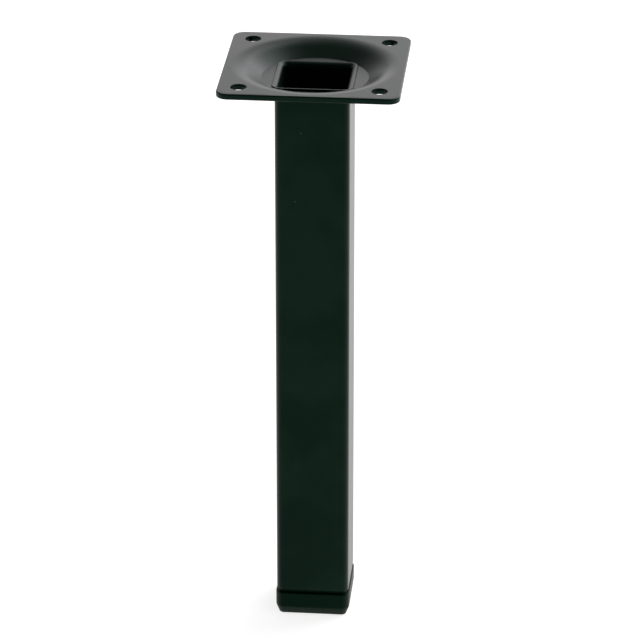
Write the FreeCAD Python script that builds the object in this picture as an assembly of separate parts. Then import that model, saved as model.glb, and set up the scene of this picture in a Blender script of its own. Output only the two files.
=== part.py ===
# Square furniture leg: a pressed mounting plate with a round dish, a square tube whose flared top
# sits in that dish, the weld under the plate, and a push-in cap for the foot.
# Millimetres. The origin is the middle of the foot's underside, and the leg's axis is +Z.

import FreeCAD, Part

import math
import os

from FreeCAD import Vector

# The whole leg
leg_height = 200.0  # floor to the plate's top face

# Square tube
tube_side = 25.0
tube_wall = 1.2
tube_corner_radius = 2.5  # outside
lip_reach = 1.0  # how far the flared top stands out past the tube's sides
lip_stand = 0.65  # how far it stands up from the dish's floor
lip_slope = 12.0  # degrees, from the lip's edge down towards the tube's inside
lip_bend_radius = 1.7  # where the lip's top turns down into the tube
lip_edge_break = 0.25

# Mounting plate
plate_overhang = 17.5  # from the tube's side to the plate's edge
plate_thickness = 2.0
plate_corner_radius = 4.0
plate_edge_break = 0.3  # on the plate's outline and the screw holes' upper edges
plate_rim = 1.7  # least flat width between the dish's mouth and the plate's edge
dish_depth = 4.3  # from the plate's top face to the dish's floor
dish_straight_wall = 5.0  # straight stretch of the dish's wall below its bend
screw_edge_distance = 7.0  # from a screw hole's centre to the plate's edges
screw_hole_diameter = 5.2

# Weld
weld_leg = 1.1

# End cap
cap_overhang = 0.3  # how far the cap's base stands out past the tube's sides
cap_base_height = 8.4
cap_bevel_height = 3.0  # bevel round the cap's underside
cap_bevel_inset = 1.2
cap_edge_break = 0.3  # on the cap's upper edge
cap_gap_height = 1.3  # shadow gap between the tube's end and the cap's base
cap_gap_depth = 0.7  # how deep the gap goes in from the tube's sides
cap_floor = 3.0  # solid under the plug's hollow
plug_length = 16.0  # inside the tube
plug_wall = 1.6
plug_corner_radius = 1.5
plug_lead = 0.8  # chamfer that leads the plug into the tube
fin_reach = 1.0  # from the plug's wall to the tube's inside
fin_height = 1.4
fin_pitch = 4.5
fin_start = 2.5  # from the tube's end to the first row of fins

# Clearances
hole_clearance = 0.1  # between the tube and the plate's square hole
lip_clearance = 0.15  # between the lip's corners and the dish's wall
fin_clearance = 0.05  # between a fin's tip and the tube's inside

# Heights
plate_top = leg_height
plate_underside = plate_top - plate_thickness
dish_floor = plate_top - dish_depth
dish_underside = dish_floor - plate_thickness
tube_end = cap_base_height + cap_gap_height
plug_top = tube_end + plug_length

# Half widths, and the square that joins the tube's corner axes
tube_half = tube_side / 2
bore_half = tube_half - tube_wall
corner_axis = tube_half - tube_corner_radius
plate_half = tube_half + plate_overhang
plug_half = bore_half - fin_reach

# The lip's corners set the dish's floor, and the rim sets its mouth
lip_corner = math.sqrt(2) * corner_axis + tube_corner_radius + lip_reach
dish_floor_radius = lip_corner + lip_clearance
dish_mouth_radius = plate_half - plate_rim

overcut = 1.0  # how far a cutting tool runs past the face it opens


def section(start, *steps):
    """Flat face in the XZ plane. A step is an end point, or a middle and an end point of an arc."""
    here = Vector(start[0], 0, start[1])
    edges = []
    for step in steps + (start,):
        if isinstance(step[0], tuple):
            middle, end = (Vector(x, 0, z) for x, z in step)
            edges.append(Part.Arc(here, middle, end).toShape())
        else:
            end = Vector(step[0], 0, step[1])
            edges.append(Part.LineSegment(here, end).toShape())
        here = end
    return Part.Face(Part.Wire(edges))


def polar(centre, radius, angle):
    """Point of a section at an angle in degrees from +X towards +Z."""
    turn = math.radians(angle)
    return centre[0] + radius * math.cos(turn), centre[1] + radius * math.sin(turn)


def bend(centre, radius, start, end):
    """Arc step about a centre, from one angle to another."""
    return polar(centre, radius, (start + end) / 2), polar(centre, radius, end)


def joined(solids):
    """One solid from solids that share faces."""
    return solids[0].fuse(solids[1:]).removeSplitter().Solids[0]


def quarter_turns(solid):
    """The solid at each of the square's four sides."""
    return [solid.rotated(Vector(0, 0, 0), Vector(0, 0, 1), 90 * turn) for turn in range(4)]


def around_square(face, axis_half):
    """A section carried round a square with rounded corners: X is measured from the corner axes."""
    start = face.translated(Vector(axis_half, -axis_half, 0))
    side = start.extrude(Vector(0, 2 * axis_half, 0))
    corner = face.revolve(Vector(0, 0, 0), Vector(0, 0, 1), 90)
    return quarter_turns(side) + quarter_turns(corner.translated(Vector(axis_half, axis_half, 0)))


def square_ring(face, axis_half):
    """Hollow piece: the section stands clear of the corner axes."""
    return joined(around_square(face, axis_half))


def square_block(face, axis_half):
    """Solid piece: the section starts at the corner axes, and a square core fills the middle."""
    box = face.BoundBox
    core = Part.makeBox(
        2 * axis_half, 2 * axis_half, box.ZLength, Vector(-axis_half, -axis_half, box.ZMin)
    )
    return joined([core] + around_square(face, axis_half))


def plate_blank():
    """Flat square sheet with rounded corners and broken edges."""
    outer = plate_corner_radius
    edge = plate_edge_break
    face = section(
        (0, plate_underside),
        (outer - edge, plate_underside),
        (outer, plate_underside + edge),
        (outer, plate_top - edge),
        (outer - edge, plate_top),
        (0, plate_top),
    )
    return square_block(face, plate_half - plate_corner_radius)


def dish():
    """Bell-mouthed dish of even sheet thickness with a crisp root, turned about the leg's axis."""
    run = dish_mouth_radius - dish_floor_radius
    wall = dish_straight_wall
    # The bend and the straight wall below it add up to the dish's run and depth
    bend_radius = (run**2 + dish_depth**2 - wall**2) / (2 * dish_depth)
    slope = math.degrees(math.atan2(run, bend_radius - dish_depth) - math.atan2(wall, bend_radius))
    bend_axis = (dish_mouth_radius, plate_top - bend_radius)
    under_radius = bend_radius - plate_thickness
    root = (dish_floor_radius, dish_floor)
    face = section(
        (dish_mouth_radius, plate_top),
        bend(bend_axis, bend_radius, 90, 90 + slope),
        root,
        (0, dish_floor),
        (0, dish_underside),
        (dish_floor_radius, dish_underside),
        # A flat under the root, where pressing thins the sheet
        polar(root, plate_thickness, slope - 90),
        polar(bend_axis, under_radius, 90 + slope),
        bend(bend_axis, under_radius, 90 + slope, 90),
    )
    return face.revolve(Vector(0, 0, 0), Vector(0, 0, 1), 360)


def screw_hole(x, y):
    """Cutting tool for one punched hole with a broken upper edge."""
    radius = screw_hole_diameter / 2
    edge = plate_edge_break
    face = section(
        (0, plate_underside - overcut),
        (radius, plate_underside - overcut),
        (radius, plate_top - edge),
        (radius + edge, plate_top),
        (radius + edge, plate_top + overcut),
        (0, plate_top + overcut),
    )
    return face.revolve(Vector(0, 0, 0), Vector(0, 0, 1), 360).translated(Vector(x, y, 0))


def tube_hole():
    """Cutting tool for the square hole, countersunk to seat the tube's flare."""
    hole = tube_corner_radius + hole_clearance
    seat = tube_corner_radius + lip_reach
    face = section(
        (0, dish_underside - overcut),
        (hole, dish_underside - overcut),
        (hole, dish_floor - (seat - hole)),
        (seat, dish_floor),
        (seat, dish_floor + overcut),
        (0, dish_floor + overcut),
    )
    return square_block(face, corner_axis)


def mounting_plate():
    mouth = Part.makeCylinder(
        dish_mouth_radius, plate_thickness + 2 * overcut, Vector(0, 0, plate_underside - overcut)
    )
    sheet = joined([plate_blank().cut(mouth), dish()])
    hole = plate_half - screw_edge_distance
    holes = [screw_hole(x, y) for x in (-hole, hole) for y in (-hole, hole)]
    return sheet.cut(holes + [tube_hole()]).Solids[0]


def square_tube():
    """Tube whose flared top sits in the plate's countersunk hole and stands a little proud of it."""
    outside = tube_corner_radius
    inside = tube_corner_radius - tube_wall
    lip_end = outside + lip_reach
    lip_top = dish_floor + lip_stand
    edge = lip_edge_break
    slope = math.radians(lip_slope)
    # The bend's axis lies where its arc meets both the tube's inside and the lip's sloping top
    axis_x = inside + lip_bend_radius
    fall = (lip_end - edge - axis_x + lip_bend_radius * math.sin(slope)) * math.tan(slope)
    bend_axis = (axis_x, lip_top - fall - lip_bend_radius * math.cos(slope))
    face = section(
        (inside, tube_end),
        (outside, tube_end),
        (outside, dish_floor - lip_reach),
        (lip_end, dish_floor),
        (lip_end, lip_top - edge),
        (lip_end - edge, lip_top),
        polar(bend_axis, lip_bend_radius, 90 + lip_slope),
        bend(bend_axis, lip_bend_radius, 90 + lip_slope, 180),
    )
    return square_ring(face, corner_axis)


def weld_seam():
    """Fillet weld in the corner between the tube's sides and the dish's underside."""
    root = tube_corner_radius
    toe = (root + weld_leg, dish_underside)
    face = section((root, dish_underside), (root, dish_underside - weld_leg), toe)
    return square_ring(face, corner_axis)


def cap_base():
    """The part of the cap that shows: a square foot with a beveled underside."""
    outer = tube_corner_radius + cap_overhang
    edge = cap_edge_break
    face = section(
        (0, 0),
        (outer - cap_bevel_inset, 0),
        (outer, cap_bevel_height),
        (outer, cap_base_height - edge),
        (outer - edge, cap_base_height),
        (0, cap_base_height),
    )
    return square_block(face, corner_axis)


def cap_step():
    """The step that the tube's end bears on, set back to leave the shadow gap."""
    outer = tube_corner_radius - cap_gap_depth
    face = section((0, cap_base_height), (outer, cap_base_height), (outer, tube_end), (0, tube_end))
    return square_block(face, corner_axis)


def plug():
    """Square plug with a chamfered top that pushes into the tube."""
    outer = plug_corner_radius
    face = section(
        (0, tube_end),
        (outer, tube_end),
        (outer, plug_top - plug_lead),
        (outer - plug_lead, plug_top),
        (0, plug_top),
    )
    return square_block(face, plug_half - plug_corner_radius)


def fins():
    """Rows of gripping fins on the plug's four sides, flat below and sloped above."""
    root = plug_half - plug_wall / 2
    tip = bore_half - fin_clearance
    half_length = plug_half - plug_corner_radius
    rows = int((plug_length - plug_lead - fin_start - fin_height) / fin_pitch) + 1
    made = []
    for row in range(rows):
        low = tube_end + fin_start + row * fin_pitch
        face = section((root, low), (tip, low), (root, low + fin_height))
        start = face.translated(Vector(0, -half_length, 0))
        made += quarter_turns(start.extrude(Vector(0, 2 * half_length, 0)))
    return made


def plug_hollow():
    """The hollow that cores out the moulding, open towards the tube's inside."""
    outer = plug_corner_radius
    mouth = plug_top + overcut
    face = section((0, cap_floor), (outer, cap_floor), (outer, mouth), (0, mouth))
    return square_block(face, plug_half - plug_wall - plug_corner_radius)


def end_cap():
    return joined([cap_base(), cap_step(), plug()] + fins()).cut(plug_hollow()).Solids[0]


pieces = {
    "mounting_plate": mounting_plate(),
    "square_tube": square_tube(),
    "weld_seam": weld_seam(),
    "end_cap": end_cap(),
}

os.makedirs("parts", exist_ok=True)
for name, solid in pieces.items():
    solid.exportStep("parts/" + name + ".step")
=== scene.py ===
import math

import bmesh
import bpy
import numpy as np
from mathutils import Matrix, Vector


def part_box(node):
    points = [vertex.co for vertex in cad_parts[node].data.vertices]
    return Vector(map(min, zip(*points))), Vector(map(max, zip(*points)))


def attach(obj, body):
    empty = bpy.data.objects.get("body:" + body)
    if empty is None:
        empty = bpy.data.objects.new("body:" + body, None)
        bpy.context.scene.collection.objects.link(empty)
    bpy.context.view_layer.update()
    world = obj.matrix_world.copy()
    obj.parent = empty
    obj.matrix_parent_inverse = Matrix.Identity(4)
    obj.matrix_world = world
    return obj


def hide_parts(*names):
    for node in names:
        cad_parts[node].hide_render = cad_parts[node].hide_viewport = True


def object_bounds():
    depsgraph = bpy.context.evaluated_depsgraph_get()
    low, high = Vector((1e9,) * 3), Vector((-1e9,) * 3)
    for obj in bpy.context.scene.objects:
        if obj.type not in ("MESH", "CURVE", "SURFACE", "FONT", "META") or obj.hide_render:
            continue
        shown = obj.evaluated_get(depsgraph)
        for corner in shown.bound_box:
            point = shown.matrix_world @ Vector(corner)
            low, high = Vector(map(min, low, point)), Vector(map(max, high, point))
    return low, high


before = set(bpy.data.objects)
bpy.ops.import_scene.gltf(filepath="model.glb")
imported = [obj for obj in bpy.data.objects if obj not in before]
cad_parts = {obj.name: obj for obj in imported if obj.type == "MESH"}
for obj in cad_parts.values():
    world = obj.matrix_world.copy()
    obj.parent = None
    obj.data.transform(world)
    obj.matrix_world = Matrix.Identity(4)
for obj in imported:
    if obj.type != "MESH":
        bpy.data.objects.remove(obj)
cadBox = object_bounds()
mm = 0.001
print("frame loaded:", ", ".join(sorted(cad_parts)))


# Lowest and highest corner of a CAD node, in millimetres.
def nodeBox(node):
    low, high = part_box(node)
    return np.array(low) / mm, np.array(high) / mm


# Points of an arc in a section (sideways, height): the centre plus the radius, turned evenly
# from one angle in degrees to another.
def arc(centre, radius, start, end, steps):
    turn = np.radians(np.linspace(start, end, steps + 1))
    return np.stack([centre[0] + radius * np.cos(turn), centre[1] + radius * np.sin(turn)], -1)


# A round that joins two lines of a section: the corner, the points before and after it, and the
# radius. It starts and ends as far from the corner as the radius times the half turn's tangent.
def roundOff(corner, before, after, radius, steps):
    corner, before, after = (np.array(p, float) for p in (corner, before, after))
    come = (corner - before) / np.linalg.norm(corner - before)
    leave = (after - corner) / np.linalg.norm(after - corner)
    turn = math.atan2(come[0] * leave[1] - come[1] * leave[0], come @ leave)
    first = corner - come * radius * math.tan(abs(turn) / 2)
    centre = first + math.copysign(radius, turn) * np.array([-come[1], come[0]])
    start = math.degrees(math.atan2(*(first - centre)[::-1]))
    return arc(centre, radius, start, start + math.degrees(turn), steps)


# Loops round a square with rounded corners, one loop for each row of a section. A corner's point is
# the corner axis plus the row's radius turned through that quarter; a side's point is a share of the
# way from one corner's end to the next corner's start. Columns run corner, side, corner, side.
def squareLoops(axisHalf, radius, height, cornerSteps, sideShares):
    quarter = np.arange(4)
    turn = quarter[:, None] * np.pi / 2 + np.linspace(0, np.pi / 2, cornerSteps + 1)
    signX = np.array([1, -1, -1, 1])
    signY = np.array([1, 1, -1, -1])
    axis = np.asarray(axisHalf, float)[:, None, None]
    reach = np.asarray(radius, float)[:, None, None]
    x = axis * signX[:, None] + reach * np.cos(turn)
    y = axis * signY[:, None] + reach * np.sin(turn)
    z = np.broadcast_to(np.asarray(height, float)[:, None, None], x.shape)
    corner = np.stack([x, y, z], -1)
    share = np.asarray(sideShares, float)[:, None]
    start = corner[:, :, -1:, :]
    end = np.roll(corner, -1, axis=1)[:, :, :1, :]
    side = start + (end - start) * share
    return np.concatenate([corner, side], axis=2).reshape(len(axis), -1, 3)


# Distance from the axis to a square with rounded corners, along an angle: on a side it is the half
# width over the larger of cosine and sine, on a corner it is where the ray meets the corner's circle.
def squareReach(angle, axisHalf, radius):
    wide = np.maximum(np.abs(np.cos(angle)), np.abs(np.sin(angle)))
    slim = np.minimum(np.abs(np.cos(angle)), np.abs(np.sin(angle)))
    side = (axisHalf + radius) / wide
    inside = np.maximum(radius**2 - (axisHalf * (wide - slim)) ** 2, 0)
    corner = axisHalf * (wide + slim) + np.sqrt(inside)
    return np.where(side * slim > axisHalf, corner, side)


# Shares of a straight side that lie the given distance inside its two ends.
def holdShares(length, hold):
    return hold / length, 1 - hold / length


# Quads between neighbouring points of a grid, with the last column or row joined to the first if asked.
def gridPatch(points, closeColumns=False, closeRows=False):
    rows, columns = points.shape[:2]
    index = np.arange(rows * columns).reshape(rows, columns)
    if closeColumns:
        index = np.hstack([index, index[:, :1]])
    if closeRows:
        index = np.vstack([index, index[:1]])
    faces = np.stack([index[:-1, :-1], index[:-1, 1:], index[1:, 1:], index[1:, :-1]], -1)
    return points.reshape(-1, 3), faces.reshape(-1, 4)


# The same patch at each of the square's four sides: turned a quarter at a time about the leg's axis.
def fourTimes(points, closeColumns=False):
    x, y, z = np.moveaxis(points, -1, 0)
    made = []
    for cos, sin in ((1, 0), (0, 1), (-1, 0), (0, -1)):
        turned = np.stack([cos * x - sin * y, sin * x + cos * y, z], -1)
        made.append(gridPatch(turned, closeColumns))
    return made


# A new object in the scene.
def addObject(name, data):
    made = bpy.data.objects.new(name, data)
    bpy.context.scene.collection.objects.link(made)
    return made


meshSet = {
    "merge": 0.002,  # points this near to each other, in millimetres, become one
    "sliver": 0.001,  # edges this short, and faces this thin, are dissolved
    "crease": 40.0,  # degrees between two faces past which their edge stays sharp
}


# One mesh from patches in millimetres: doubles merged, so that seams and poles close, faces turned
# outwards, smooth shading with creases where two faces meet at more than the given angle.
def makePiece(name, patches, material, node, crease=meshSet["crease"]):
    starts = np.cumsum([0] + [len(points) for points, faces in patches])
    points = np.concatenate([points for points, faces in patches]) * mm
    faces = np.concatenate([faces + start for (_, faces), start in zip(patches, starts)])
    mesh = bpy.data.meshes.new(name)
    mesh.from_pydata(points.tolist(), [], faces.tolist())
    work = bmesh.new()
    work.from_mesh(mesh)
    bmesh.ops.remove_doubles(work, verts=work.verts, dist=meshSet["merge"] * mm)
    bmesh.ops.dissolve_degenerate(work, edges=work.edges, dist=meshSet["sliver"] * mm)
    bmesh.ops.recalc_face_normals(work, faces=work.faces)
    openEdges = sum(1 for edge in work.edges if len(edge.link_faces) != 2)
    work.to_mesh(mesh)
    work.free()
    mesh.shade_smooth()
    mesh.set_sharp_from_angle(angle=math.radians(crease))
    mesh.materials.append(material)
    piece = addObject(name, mesh)
    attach(piece, "root")
    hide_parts(node)
    print(name, "faces", len(mesh.polygons), "open edges", openEdges)


# sRGB hex to a linear colour with alpha, by the two stretches of the sRGB curve.
def linear(code):
    share = np.array([int(code[i : i + 2], 16) for i in (1, 3, 5)]) / 255
    low = share / 12.92
    high = ((share + 0.055) / 1.055) ** 2.4
    return (*np.where(share <= 0.04045, low, high).tolist(), 1.0)


# Adds a node: its own settings, values for its inputs, and links into its inputs.
def addNode(tree, kind, settings={}, values={}, links={}):
    node = tree.nodes.new(kind)
    for key, value in settings.items():
        setattr(node, key, value)
    for key, value in values.items():
        node.inputs[key].default_value = value
    for key, source in links.items():
        tree.links.new(source, node.inputs[key])
    return node


# Sockets of a Mix node that blends colours, by their place, because their names repeat on the node.
mixShare, mixFirst, mixSecond, mixResult = 0, 6, 7, 2


# A material with an empty node tree.
def emptyMaterial(name):
    material = bpy.data.materials.new(name)
    material.use_nodes = True
    material.node_tree.nodes.clear()
    return material, material.node_tree


# Texture scale that gives a pattern this size in millimetres on Object coordinates.
def perMm(size):
    return 1 / (size * mm)


coatSet = {
    "deep": "#000201",
    "thin": "#111f18",
    "nib": "#6a7872",
    "tint": "#568e77",  # at normal incidence the reflection is dim and green, at a glance it is white
    "ior": 1.5,
    "roughness": (0.27, 0.35),
    "cloudMm": 26.0,
    "cloudDetail": 3.0,
    "cloudEnds": (0.36, 0.64),  # the noise's usual reach, spread to the full range
    "peelMm": 1.3,
    "peelDetail": 1.5,
    "nibMm": 11.0,
    "nibSize": 0.03,  # share of the nib spacing
    "bumpMm": 0.03,
    "bumpStrength": 0.6,
}


# Black polyester powder, sprayed on steel and baked. It gives the eye a satin, nearly black skin with
# a green cast that turns grey and bright at a glance, faint orange peel and a few trapped dust nibs.
def powderCoat():
    material, tree = emptyMaterial("black_polyester_powder_coat_sprayed_and_baked")
    place = addNode(tree, "ShaderNodeTexCoord").outputs["Object"]
    cloud = addNode(
        tree, "ShaderNodeTexNoise",
        values={"Scale": perMm(coatSet["cloudMm"]), "Detail": coatSet["cloudDetail"]},
        links={"Vector": place},
    )
    patchy = addNode(
        tree, "ShaderNodeMapRange", {"interpolation_type": "SMOOTHSTEP"},
        {"From Min": coatSet["cloudEnds"][0], "From Max": coatSet["cloudEnds"][1]},
        {"Value": cloud.outputs["Fac"]},
    )
    colour = addNode(
        tree, "ShaderNodeMix", {"data_type": "RGBA"},
        {mixFirst: linear(coatSet["deep"]), mixSecond: linear(coatSet["thin"])},
        {mixShare: patchy.outputs["Result"]},
    )
    peel = addNode(
        tree, "ShaderNodeTexNoise",
        values={"Scale": perMm(coatSet["peelMm"]), "Detail": coatSet["peelDetail"]},
        links={"Vector": place},
    )
    cell = addNode(
        tree, "ShaderNodeTexVoronoi", values={"Scale": perMm(coatSet["nibMm"])},
        links={"Vector": place},
    )
    nib = addNode(
        tree, "ShaderNodeMapRange", {"interpolation_type": "SMOOTHSTEP"},
        {"From Min": coatSet["nibSize"], "From Max": 0.0}, {"Value": cell.outputs["Distance"]},
    )
    spotted = addNode(
        tree, "ShaderNodeMix", {"data_type": "RGBA"}, {mixSecond: linear(coatSet["nib"])},
        {mixShare: nib.outputs["Result"], mixFirst: colour.outputs[mixResult]},
    )
    rough = addNode(
        tree, "ShaderNodeMapRange",
        values={"To Min": coatSet["roughness"][0], "To Max": coatSet["roughness"][1]},
        links={"Value": cloud.outputs["Fac"]},
    )
    height = addNode(
        tree, "ShaderNodeMath", {"operation": "ADD"},
        links={0: peel.outputs["Fac"], 1: nib.outputs["Result"]},
    )
    bump = addNode(
        tree, "ShaderNodeBump",
        values={"Strength": coatSet["bumpStrength"], "Distance": coatSet["bumpMm"] * mm},
        links={"Height": height.outputs["Value"]},
    )
    shader = addNode(
        tree, "ShaderNodeBsdfPrincipled",
        values={"IOR": coatSet["ior"], "Specular Tint": linear(coatSet["tint"])},
        links={
            "Base Color": spotted.outputs[mixResult],
            "Roughness": rough.outputs["Result"],
            "Normal": bump.outputs["Normal"],
        },
    )
    addNode(tree, "ShaderNodeOutputMaterial", links={"Surface": shader.outputs["BSDF"]})
    return material


plasticSet = {
    "deep": "#020c06",
    "rubbed": "#05110a",
    "tint": "#2a8058",
    "ior": 1.49,
    "roughness": (0.42, 0.55),
    "cloudMm": 9.0,
    "cloudDetail": 4.0,
    "grainMm": 0.35,  # the mould's spark texture is finer; drawn coarser so that it shows
    "grainDetail": 2.0,
    "bumpMm": 0.01,
    "bumpStrength": 0.6,
}


# Black polypropylene, injection moulded in a spark-textured mould. It gives the eye an even, matte
# near-black with a soft grainy sheen on its edges.
def mouldedPlastic():
    material, tree = emptyMaterial("black_polypropylene_injection_moulded")
    place = addNode(tree, "ShaderNodeTexCoord").outputs["Object"]
    cloud = addNode(
        tree, "ShaderNodeTexNoise",
        values={"Scale": perMm(plasticSet["cloudMm"]), "Detail": plasticSet["cloudDetail"]},
        links={"Vector": place},
    )
    colour = addNode(
        tree, "ShaderNodeMix", {"data_type": "RGBA"},
        {mixFirst: linear(plasticSet["deep"]), mixSecond: linear(plasticSet["rubbed"])},
        {mixShare: cloud.outputs["Fac"]},
    )
    grain = addNode(
        tree, "ShaderNodeTexNoise",
        values={"Scale": perMm(plasticSet["grainMm"]), "Detail": plasticSet["grainDetail"]},
        links={"Vector": place},
    )
    rough = addNode(
        tree, "ShaderNodeMapRange",
        values={"To Min": plasticSet["roughness"][0], "To Max": plasticSet["roughness"][1]},
        links={"Value": cloud.outputs["Fac"]},
    )
    bump = addNode(
        tree, "ShaderNodeBump",
        values={"Strength": plasticSet["bumpStrength"], "Distance": plasticSet["bumpMm"] * mm},
        links={"Height": grain.outputs["Fac"]},
    )
    shader = addNode(
        tree, "ShaderNodeBsdfPrincipled",
        values={"IOR": plasticSet["ior"], "Specular Tint": linear(plasticSet["tint"])},
        links={
            "Base Color": colour.outputs[mixResult],
            "Roughness": rough.outputs["Result"],
            "Normal": bump.outputs["Normal"],
        },
    )
    addNode(tree, "ShaderNodeOutputMaterial", links={"Surface": shader.outputs["BSDF"]})
    return material


coat = powderCoat()
plastic = mouldedPlastic()
print("materials made")

tubeSet = {
    "wall": 1.2,
    "cornerRadius": 2.5,
    "lipReach": 1.0,
    "lipStand": 0.65,  # above the dish's floor
    "lipSlope": 12.0,  # degrees, from the lip's edge down towards the tube's inside
    "lipBend": 1.7,  # where the lip's top turns down into the tube
    "lipRound": 0.35,
    "endRound": 0.15,
    "hold": 0.3,  # width of the narrow strip that keeps a flat face flat beside a round edge
    "cornerSteps": 12,
    "endSteps": 3,
    "lipSteps": 9,
    "bendSteps": 14,
}
tubeLow, tubeHigh = nodeBox("square_tube")
tubeHalf = tubeHigh[0] - tubeSet["lipReach"]
cornerAxis = tubeHalf - tubeSet["cornerRadius"]
dishFloor = tubeHigh[2] - tubeSet["lipStand"]


# Square tube: a wall section with a flared lip at its top, carried round a rounded square. The lip's
# edge is an arc, its top slopes inwards as that arc's tangent, and the bend below touches both that
# slope and the tube's inside.
def squareTube():
    outside = tubeSet["cornerRadius"]
    inside = outside - tubeSet["wall"]
    lipEnd = outside + tubeSet["lipReach"]
    lipTop = tubeHigh[2]
    low = tubeLow[2]
    edge = tubeSet["lipRound"]
    bend = tubeSet["lipBend"]
    slope = math.radians(tubeSet["lipSlope"])
    run = lipEnd - edge - inside - bend + (bend - edge) * math.sin(slope)
    fall = edge - edge * math.cos(slope) + run * math.tan(slope)
    bendAxis = (inside + bend, lipTop - fall - bend * math.cos(slope))
    lean = 90 + tubeSet["lipSlope"]  # where the lip's edge ends and the bend starts, in degrees
    flare = dishFloor - tubeSet["lipReach"]  # the flare leaves the tube at 45 degrees
    end = tubeSet["endRound"]
    hold = tubeSet["hold"]
    section = np.concatenate([
        arc((inside + end, low + end), end, 180, 270, tubeSet["endSteps"]),
        arc((outside - end, low + end), end, -90, 0, tubeSet["endSteps"]),
        [(outside, low + end + hold), (outside, flare - hold)],
        [(outside, flare), (lipEnd, dishFloor)],
        arc((lipEnd - edge, lipTop - edge), edge, 0, lean, tubeSet["lipSteps"]),
        arc(bendAxis, bend, lean, 180, tubeSet["bendSteps"]),
        [(inside, bendAxis[1] - hold), (inside, low + end + hold)],
    ])
    axis = np.full(len(section), cornerAxis)
    shares = holdShares(2 * cornerAxis, hold)
    loops = squareLoops(axis, section[:, 0], section[:, 1], tubeSet["cornerSteps"], shares)
    patch = gridPatch(loops, closeColumns=True, closeRows=True)
    makePiece("coated_square_tube", [patch], coat, "square_tube")


squareTube()

plateSet = {
    "thickness": 2.0,
    "cornerRadius": 4.0,
    "edgeRound": 0.45,  # the coat softens the sheared edge
    "rim": 1.7,  # least flat between the dish's mouth and the plate's edge
    "dishDepth": 4.3,
    "straightWall": 5.0,
    "rootRound": 0.3,
    "lipClearance": 0.15,
    "holeClearance": 0.1,
    "screwEdge": 7.0,  # from a screw hole's centre to the plate's edges
    "screwDiameter": 5.2,
    "screwRound": 0.3,
    "hold": 0.3,
    "sideSpread": 25.0,  # degrees of the mouth, each way, that face a side; the rest faces a corner
    "sideColumns": 48,
    "cornerColumns": 36,
    "edgeColumns": 12,  # along a corner's straight edge
    "turnColumns": 16,  # round the plate's corner
    "bendRows": 28,
    "rootRows": 6,
    "heelRows": 10,  # round the dish's root on the underside
    "edgeRows": 6,
    "screwRows": 5,
    "floorShares": (0.3, 0.7, 1.0),  # rows from the floor's circle in to the square hole
    "flatShares": (0.0, 0.3, 0.6, 0.92, 1.0),  # rows from the mouth out to the flat's border
    "screwShares": (0.0, 0.35, 0.7, 0.9),  # rows from a corner's border in to its screw hole
}
plateHigh = nodeBox("mounting_plate")[1]
plateTop = plateHigh[2]
plateHalf = plateHigh[0]
plateUnder = plateTop - plateSet["thickness"]
mouth = plateHalf - plateSet["rim"]
border = plateHalf - plateSet["edgeRound"]


# Section of the dish from its mouth to its floor, upper side and underside, as (radius, height). A
# bend of one radius and a straight wall below it add up to the dish's run and depth; the underside
# is the same curve a sheet's thickness away. The floor's circle clears the lip's corners.
def dishSection():
    depth = plateSet["dishDepth"]
    wall = plateSet["straightWall"]
    thick = plateSet["thickness"]
    floorRadius = math.sqrt(2) * cornerAxis + tubeHigh[0] - cornerAxis + plateSet["lipClearance"]
    run = mouth - floorRadius
    bend = (run**2 + depth**2 - wall**2) / (2 * depth)
    slope = math.degrees(math.atan2(run, bend - depth) - math.atan2(wall, bend))
    centre = (mouth, plateTop - bend)
    floor = plateTop - depth
    fillet = plateSet["rootRound"]
    back = fillet * math.tan(math.radians(slope) / 2)
    upper = np.concatenate([
        arc(centre, bend, 90, 90 + slope, plateSet["bendRows"]),
        arc((floorRadius - back, floor + fillet), fillet, slope - 90, -90, plateSet["rootRows"]),
    ])
    under = np.concatenate([
        arc(centre, bend - thick, 90, 90 + slope, plateSet["bendRows"]),
        arc((floorRadius, floor), thick, slope - 90, -90, plateSet["heelRows"]),
    ])
    return upper, under


# Turned part of the plate: the dish's section spun round the leg's axis, then flat rings that close
# from the floor's circle on the square hole, and between them the hole's wall, countersunk where the
# tube's flare sits.
def dishPatch(columns):
    upper, under = dishSection()
    corner = tubeSet["cornerRadius"]
    sink = tubeSet["lipReach"] - plateSet["holeClearance"]
    hole = squareReach(columns, cornerAxis, corner + plateSet["holeClearance"])
    brink = squareReach(columns, cornerAxis, corner + tubeSet["lipReach"])
    share = np.array(plateSet["floorShares"])[:, None]
    floor = upper[-1, 0] + (brink - upper[-1, 0]) * share
    below = under[-1, 0] + (hole - under[-1, 0]) * share
    ones = np.ones(len(columns))
    radius = np.concatenate([upper[:, :1] * ones, floor, [hole], below[::-1], under[::-1, :1] * ones])
    height = np.concatenate([
        upper[:, 1],
        np.full(len(share), dishFloor),
        [dishFloor - sink],
        np.full(len(share), under[-1, 1]),
        under[::-1, 1],
    ])
    x = radius * np.cos(columns)
    y = radius * np.sin(columns)
    z = np.broadcast_to(height[:, None], x.shape)
    return gridPatch(np.stack([x, y, z], -1), closeColumns=True)


# Edge of the sheet from its top face to its underside: a round, a straight wall and a round, as
# (distance out from the flat face's border, height).
def edgeSection():
    edge = plateSet["edgeRound"]
    return np.concatenate([
        arc((0, plateTop - edge), edge, 90, 0, plateSet["edgeRows"]),
        arc((0, plateUnder + edge), edge, 0, -90, plateSet["edgeRows"]),
    ])


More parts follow.
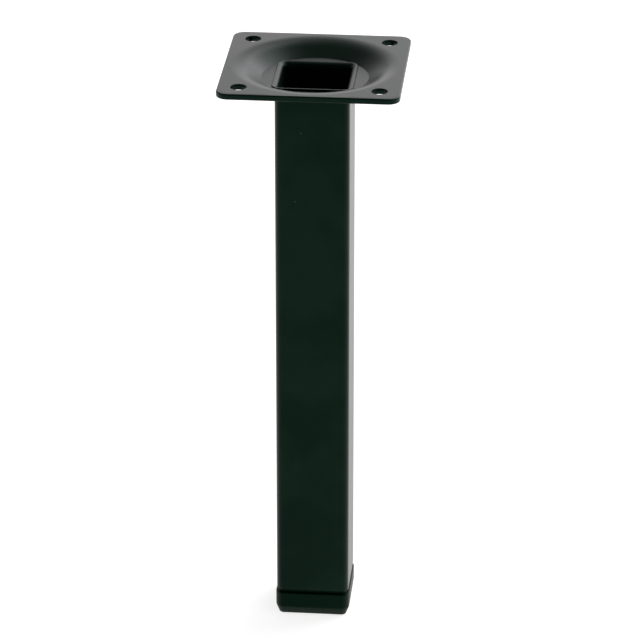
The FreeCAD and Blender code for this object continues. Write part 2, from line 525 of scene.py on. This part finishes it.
# Flat stretch between the mouth's arc and one straight side, over the edge and back underneath:
# each column keeps the distance from the side's middle that it has on the mouth.
def sidePatch(angles, shares):
    edge = edgeSection()
    start = mouth * np.cos(angles)
    flat = start + (border - start) * shares[:, None]
    over = np.broadcast_to(border + edge[1:-1, :1], (len(edge) - 2, len(angles)))
    x = np.concatenate([flat, over, flat[::-1]])
    y = np.broadcast_to(mouth * np.sin(angles), x.shape)
    top = np.full(len(shares), plateTop)
    under = np.full(len(shares), plateUnder)
    height = np.concatenate([top, edge[1:-1, 1], under])
    z = np.broadcast_to(height[:, None], x.shape)
    return np.stack([x, y, z], -1)


# Border of one corner's flat stretch, round its screw hole: up the plate's edge, round its corner,
# back along the next edge, in to the mouth, along the mouth's arc and out again. The outline's part
# comes first, with the direction that points out of the plate.
def cornerBorder(shares):
    spread = math.radians(plateSet["sideSpread"])
    start = mouth * math.sin(spread)
    axis = plateHalf - plateSet["cornerRadius"]
    radius = border - axis
    up = np.linspace(start, axis, plateSet["edgeColumns"] + 1)[:-1]
    turn = np.linspace(0, np.pi / 2, plateSet["turnColumns"] + 1)
    way = np.stack([np.cos(turn), np.sin(turn)], -1)
    side = np.stack([np.full(len(up), border), up], -1)
    outline = np.concatenate([side, axis + radius * way, side[::-1, ::-1]])
    outward = np.concatenate([
        np.tile([1.0, 0.0], (len(up), 1)),
        way,
        np.tile([0.0, 1.0], (len(up), 1)),
    ])
    reach = mouth * math.cos(spread)
    line = reach + (border - reach) * shares
    inward = np.stack([np.full(len(line), start), line[::-1]], -1)
    curve = np.linspace(np.pi / 2 - spread, spread, plateSet["cornerColumns"] + 1)
    bow = mouth * np.stack([np.cos(curve), np.sin(curve)], -1)
    loop = np.concatenate([outline, inward[1:], bow[1:], inward[::-1, ::-1][1:-1]])
    return outline, outward, loop


# Flat stretch of one corner: straight lines from the border to the screw hole's rim, down the hole's
# rounded wall, and back out to the border underneath.
def cornerPatch(loop):
    centre = plateHalf - plateSet["screwEdge"]
    edge = plateSet["screwRound"]
    steps = plateSet["screwRows"]
    away = loop - centre
    far = np.linalg.norm(away, axis=1)
    way = away / far[:, None]
    rim = plateSet["screwDiameter"] / 2 + edge
    ring = rim + plateSet["hold"]
    shares = np.array(plateSet["screwShares"])[:, None]
    flat = far + (ring - far) * shares
    hole = np.concatenate([
        [(ring, plateTop)],
        arc((rim, plateTop - edge), edge, 90, 180, steps),
        arc((rim, plateUnder + edge), edge, 180, 270, steps),
        [(ring, plateUnder)],
    ])
    inner = np.broadcast_to(hole[:, :1], (len(hole), len(far)))
    reach = np.concatenate([flat, inner, flat[::-1]])
    top = np.full(len(flat), plateTop)
    under = np.full(len(flat), plateUnder)
    height = np.concatenate([top, hole[:, 1], under])
    x = centre + reach * way[:, 0]
    y = centre + reach * way[:, 1]
    z = np.broadcast_to(height[:, None], x.shape)
    return np.stack([x, y, z], -1)


# Rounded edge along one corner's outline: the edge's section carried out of the plate at each point.
def cornerEdge(outline, outward):
    edge = edgeSection()
    flat = outline + outward * edge[:, None, :1]
    z = np.broadcast_to(edge[:, 1:2], flat.shape[:2])
    return np.concatenate([flat, z[..., None]], -1)


# Pressed mounting plate: a turned dish in the middle, four side stretches and four corners with holes.
def mountingPlate():
    spread = math.radians(plateSet["sideSpread"])
    side = np.linspace(-spread, spread, plateSet["sideColumns"] + 1)
    corner = np.linspace(spread, np.pi / 2 - spread, plateSet["cornerColumns"] + 1)
    quarter = np.concatenate([side[:-1], corner[:-1]])
    columns = (np.arange(4)[:, None] * np.pi / 2 + quarter).ravel()
    shares = np.array(plateSet["flatShares"])
    outline, outward, loop = cornerBorder(shares)
    patches = [dishPatch(columns)]
    patches += fourTimes(sidePatch(side, shares))
    patches += fourTimes(cornerPatch(loop), closeColumns=True)
    patches += fourTimes(cornerEdge(outline, outward))
    makePiece("coated_mounting_plate", patches, coat, "mounting_plate")


mountingPlate()

weldSet = {
    "bulge": 0.28,
    "ripplePitch": 1.15,
    "rippleHeight": 0.1,
    "rippleCrest": 0.7,  # power of the sine: below 1 the crests are broad and the valleys narrow
    "crescent": 0.45,  # how far a ripple's ends trail behind its middle, in pitches
    "sink": 0.08,  # the bead's hidden faces reach this far into the tube and the plate
    "crease": 60.0,
    "beadRows": 14,
    "cornerSteps": 36,
    "sideSteps": 150,
}
weldLow, weldHigh = nodeBox("weld_seam")


# Fillet weld: a bead between two toes, its section a shallow bow, carried round the tube. Ripples
# stack along it like leaning coins: the bow rises and falls with the sine of the distance along the
# seam in pitches.
def weldSeam():
    root = tubeSet["cornerRadius"]
    leg = weldHigh[2] - weldLow[2]
    sink = weldSet["sink"]
    across = np.linspace(-1, 1, weldSet["beadRows"] + 1)
    share = (across + 1) / 2
    bow = 1 - across**2
    x = root + leg * (1 - share)
    z = weldHigh[2] - leg * share
    axis = np.full(len(x), cornerAxis)
    shares = np.linspace(0, 1, weldSet["sideSteps"] + 2)[1:-1]
    steps = weldSet["cornerSteps"]
    bead = squareLoops(axis, x, z, steps, shares)
    out = squareLoops(axis, x + bow, z - bow, steps, shares) - bead
    out /= math.sqrt(2)
    middle = bead[len(x) // 2]
    stride = np.linalg.norm(np.roll(middle, -1, axis=0) - middle, axis=1)
    along = np.concatenate([[0], np.cumsum(stride)[:-1]])
    count = round(stride.sum() / weldSet["ripplePitch"])
    phase = along / stride.sum() * count - weldSet["crescent"] * across[:, None] ** 2
    ripple = np.abs(np.sin(np.pi * phase)) ** weldSet["rippleCrest"]
    lift = weldSet["bulge"] + weldSet["rippleHeight"] * (ripple - 1)
    bead = bead + out * lift[..., None]
    hiddenX = np.array([root - sink, root - sink, root + leg])
    hiddenZ = np.array([weldLow[2], weldHigh[2] + sink, weldHigh[2] + sink])
    hidden = squareLoops(np.full(len(hiddenX), cornerAxis), hiddenX, hiddenZ, steps, shares)
    patch = gridPatch(np.concatenate([bead, hidden]), closeColumns=True, closeRows=True)
    crease = weldSet["crease"]
    makePiece("coated_weld_seam", [patch], coat, "weld_seam", crease)


weldSeam()

capSet = {
    "overhang": 0.3,
    "baseHeight": 8.4,
    "bevelHeight": 3.0,
    "bevelInset": 1.2,
    "edgeRound": 0.3,
    "bevelRound": 2.5,  # where the wall turns into the bevel
    "footRound": 0.5,  # where the bevel turns into the underside
    "gapDepth": 0.7,
    "floor": 3.0,
    "finReach": 1.0,
    "finClearance": 0.05,
    "finHeight": 1.4,
    "finTip": 0.25,
    "finPitch": 4.5,
    "finStart": 2.5,
    "finRows": 3,
    "plugCorner": 1.5,
    "plugWall": 1.6,
    "plugLead": 0.8,
    "hold": 0.3,
    "cornerSteps": 10,
    "footSteps": 5,
    "bevelSteps": 8,
    "edgeSteps": 5,
}
capHigh = nodeBox("end_cap")[1]


# Side of the cap's base as (distance from the corner axes, height): a round, the bevel, a round, the
# upright wall and its rounded top edge.
def baseSection():
    outer = tubeSet["cornerRadius"] + capSet["overhang"]
    foot = (outer - capSet["bevelInset"], 0)
    brow = (outer, capSet["bevelHeight"])
    base = capSet["baseHeight"]
    edge = capSet["edgeRound"]
    return np.concatenate([
        roundOff(foot, (0, 0), brow, capSet["footRound"], capSet["footSteps"]),
        roundOff(brow, foot, (outer, base), capSet["bevelRound"], capSet["bevelSteps"]),
        [(outer, base - edge - capSet["hold"])],
        arc((outer - edge, base - edge), edge, 0, 90, capSet["edgeSteps"]),
    ])


# Rows of the plug's fins, as heights and how far the sides stand out there: each fin leaves the plug
# level, has a short upright tip and slopes back to the plug.
def finSection(start):
    tip = capSet["finReach"] - capSet["finClearance"]
    rise = start + capSet["finStart"] + capSet["finPitch"] * np.arange(capSet["finRows"])
    lift = np.array([0.0, 0.0, capSet["finTip"], capSet["finHeight"]])
    return (rise[:, None] + lift).ravel(), np.tile([0.0, tip, tip, 0.0], capSet["finRows"])


# Moulded end cap: one skin from the middle of the underside, up the beveled foot, in at the shadow
# gap, up the plug and its fins, and down the hollow to its floor. Each row has its own square of
# corner axes, and on the fins' rows the straight sides stand out from the plug.
def endCap():
    base = capSet["baseHeight"]
    floor = capSet["floor"]
    corner = capSet["plugCorner"]
    lead = capSet["plugLead"]
    tubeEnd = tubeLow[2]
    top = capHigh[2]
    step = tubeSet["cornerRadius"] - capSet["gapDepth"]
    plugAxis = tubeHalf - tubeSet["wall"] - capSet["finReach"] - corner
    hollowAxis = plugAxis - capSet["plugWall"]
    side = baseSection()
    finZ, finOut = finSection(tubeEnd)
    # columns: corner axis, radius about it, height, how far the sides stand out
    rows = np.concatenate([
        [(0, 0, 0, 0), (cornerAxis, 0, 0, 0)],
        np.stack([np.full(len(side), cornerAxis), *side.T, np.zeros(len(side))], -1),
        [(cornerAxis, step, base, 0), (cornerAxis, step, tubeEnd, 0), (plugAxis, corner, tubeEnd, 0)],
        np.stack([np.full(len(finZ), plugAxis), np.full(len(finZ), corner), finZ, finOut], -1),
        [(plugAxis, corner, top - lead, 0), (plugAxis, corner - lead, top, 0)],
        [(hollowAxis, corner, top, 0), (hollowAxis, corner, floor, 0), (0, 0, floor, 0)],
    ])
    near, far = holdShares(2 * cornerAxis, capSet["hold"])
    sideShares = (0.0, near, far, 1.0)
    steps = capSet["cornerSteps"]
    loops = squareLoops(rows[:, 0], rows[:, 1], rows[:, 2], steps, sideShares)
    onSide = np.concatenate([np.zeros(steps + 1), np.ones(len(sideShares))])
    facing = (np.arange(4) + 1) * np.pi / 2
    outX = (np.cos(facing)[:, None] * onSide).ravel()
    outY = (np.sin(facing)[:, None] * onSide).ravel()
    loops[..., 0] += rows[:, 3:] * outX
    loops[..., 1] += rows[:, 3:] * outY
    patch = gridPatch(loops, closeColumns=True)
    makePiece("moulded_end_cap", [patch], plastic, "end_cap")


endCap()

studioSet = {
    "floorColour": "#f2f2f0",
    "floorGlow": 0.78,  # seen by the camera and in reflections only, so that the pale floor reads white
    "floorSize": 8.0,
    "ambient": 0.55,  # what the surround gives to matte surfaces
    "white": "#ffffff",
    "boxTone": "#fff0fb",  # the softboxes' faint rose
}
# Unlit parts of the room: the way there, the cosines of the angle off it where the surround starts to
# dim and where it is as dim as it gets, and what is left of its light there.
dimSet = {
    "highLeft": {"way": (-0.6, -0.2, 0.775), "start": 0.1, "full": 0.75, "level": 0.3},
    "overCamera": {"way": (0.0, -0.79, 0.613), "start": 0.75, "full": 0.92, "level": 0.12},
}
# Softboxes in metres: where each stands, its width and height, and its radiance. All face the leg.
boxSet = {
    "back": {"place": (0.3, 1.36, 0.68), "size": (1.5, 0.85), "radiance": 0.6},
    "right": {"place": (0.7, 0.86, 1.12), "size": (1.25, 1.1), "radiance": 2.0},
}


# Whether a ray is the camera's own, a reflection or seen through glass: 1 if it is any of the three.
def seenDirectly(tree):
    path = addNode(tree, "ShaderNodeLightPath")
    mirrored = addNode(
        tree, "ShaderNodeMath", {"operation": "MAXIMUM"},
        links={0: path.outputs["Is Camera Ray"], 1: path.outputs["Is Glossy Ray"]},
    )
    return addNode(
        tree, "ShaderNodeMath", {"operation": "MAXIMUM"},
        links={0: mirrored.outputs["Value"], 1: path.outputs["Is Transmission Ray"]},
    ).outputs["Value"]


# Matte painted board, rolled: a plain pale ground that keeps a soft shadow.
def floorBoard():
    material, tree = emptyMaterial("pale_matte_painted_board")
    matte = addNode(tree, "ShaderNodeBsdfDiffuse", values={"Color": linear(studioSet["floorColour"])})
    glow = addNode(
        tree, "ShaderNodeMath", {"operation": "MULTIPLY"}, {1: studioSet["floorGlow"]},
        {0: seenDirectly(tree)},
    )
    light = addNode(
        tree, "ShaderNodeEmission", values={"Color": linear(studioSet["white"])},
        links={"Strength": glow.outputs["Value"]},
    )
    both = addNode(
        tree, "ShaderNodeAddShader", links={0: matte.outputs["BSDF"], 1: light.outputs["Emission"]},
    )
    addNode(tree, "ShaderNodeOutputMaterial", links={"Surface": both.outputs["Shader"]})
    half = studioSet["floorSize"] / 2
    corners = [(-half, -half, 0), (half, -half, 0), (half, half, 0), (-half, half, 0)]
    mesh = bpy.data.meshes.new("studio_floor")
    mesh.from_pydata(corners, [], [(0, 1, 2, 3)])
    mesh.materials.append(material)
    addObject("studio_floor", mesh)


# White surround: full white to the camera and in reflections, a part of that on matte surfaces. For
# all but the camera, the unlit parts of the room are dim.
def surround():
    world = bpy.data.worlds.new("white_surround")
    bpy.context.scene.world = world
    world.use_nodes = True
    tree = world.node_tree
    tree.nodes.clear()
    room = addNode(
        tree, "ShaderNodeMapRange", values={"To Min": studioSet["ambient"], "To Max": 1.0},
        links={"Value": seenDirectly(tree)},
    ).outputs["Result"]
    way = addNode(tree, "ShaderNodeTexCoord").outputs["Generated"]
    for dim in dimSet.values():
        facing = addNode(
            tree, "ShaderNodeVectorMath", {"operation": "DOT_PRODUCT"}, {1: dim["way"]}, {0: way},
        )
        left = addNode(
            tree, "ShaderNodeMapRange", {"interpolation_type": "SMOOTHSTEP"},
            {"From Min": dim["start"], "From Max": dim["full"], "To Min": 1.0, "To Max": dim["level"]},
            {"Value": facing.outputs["Value"]},
        )
        room = addNode(
            tree, "ShaderNodeMath", {"operation": "MULTIPLY"},
            links={0: room, 1: left.outputs["Result"]},
        ).outputs["Value"]
    strength = addNode(
        tree, "ShaderNodeMath", {"operation": "MAXIMUM"},
        links={0: room, 1: addNode(tree, "ShaderNodeLightPath").outputs["Is Camera Ray"]},
    )
    back = addNode(
        tree, "ShaderNodeBackground", values={"Color": linear(studioSet["white"])},
        links={"Strength": strength.outputs["Value"]},
    )
    addNode(tree, "ShaderNodeOutputWorld", links={"Surface": back.outputs["Background"]})


# Turns a lamp or a camera to look along a direction, upright.
def lookAlong(thing, way):
    thing.rotation_mode = "QUATERNION"
    thing.rotation_quaternion = way.to_track_quat("-Z", "Y")


# One softbox: an even panel whose power is its radiance times pi times its area.
def softbox(name, place, size, radiance):
    data = bpy.data.lights.new(name + "_softbox", "AREA")
    data.shape = "RECTANGLE"
    data.size, data.size_y = size
    data.energy = radiance * math.pi * size[0] * size[1]
    data.color = linear(studioSet["boxTone"])[:3]
    lamp = addObject(name + "_softbox", data)
    lamp.location = place
    lamp.visible_camera = False
    legMiddle = Vector((0, 0, (cadBox[0].z + cadBox[1].z) / 2))
    lookAlong(lamp, legMiddle - lamp.location)


floorBoard()
surround()
for boxName, boxValues in boxSet.items():
    softbox(boxName, **boxValues)
print("floor, surround and softboxes made")

cameraSet = {
    "azimuth": 5.07,  # degrees to the right of the front
    "elevation": 24.38,
    "distance": 1.25,
    "aim": (0.00163, 0, 0.10752),
    "lens": 206.6,
    "sensor": 36.0,
    "nearest": 0.01,
}


# Camera on a sphere round its aim, looking at it, with no shift and no depth of field.
def photoCamera():
    turn = math.radians(cameraSet["azimuth"])
    lift = math.radians(cameraSet["elevation"])
    back = Vector((math.sin(turn) * math.cos(lift), -math.cos(turn) * math.cos(lift), math.sin(lift)))
    data = bpy.data.cameras.new("photo_camera")
    data.lens = cameraSet["lens"]
    data.sensor_width = cameraSet["sensor"]
    data.clip_start = cameraSet["nearest"]
    camera = addObject("photo_camera", data)
    camera.location = Vector(cameraSet["aim"]) + back * cameraSet["distance"]
    lookAlong(camera, -back)
    bpy.context.scene.camera = camera


photoCamera()
bpy.context.scene.view_settings.view_transform = "Standard"
print("camera placed")
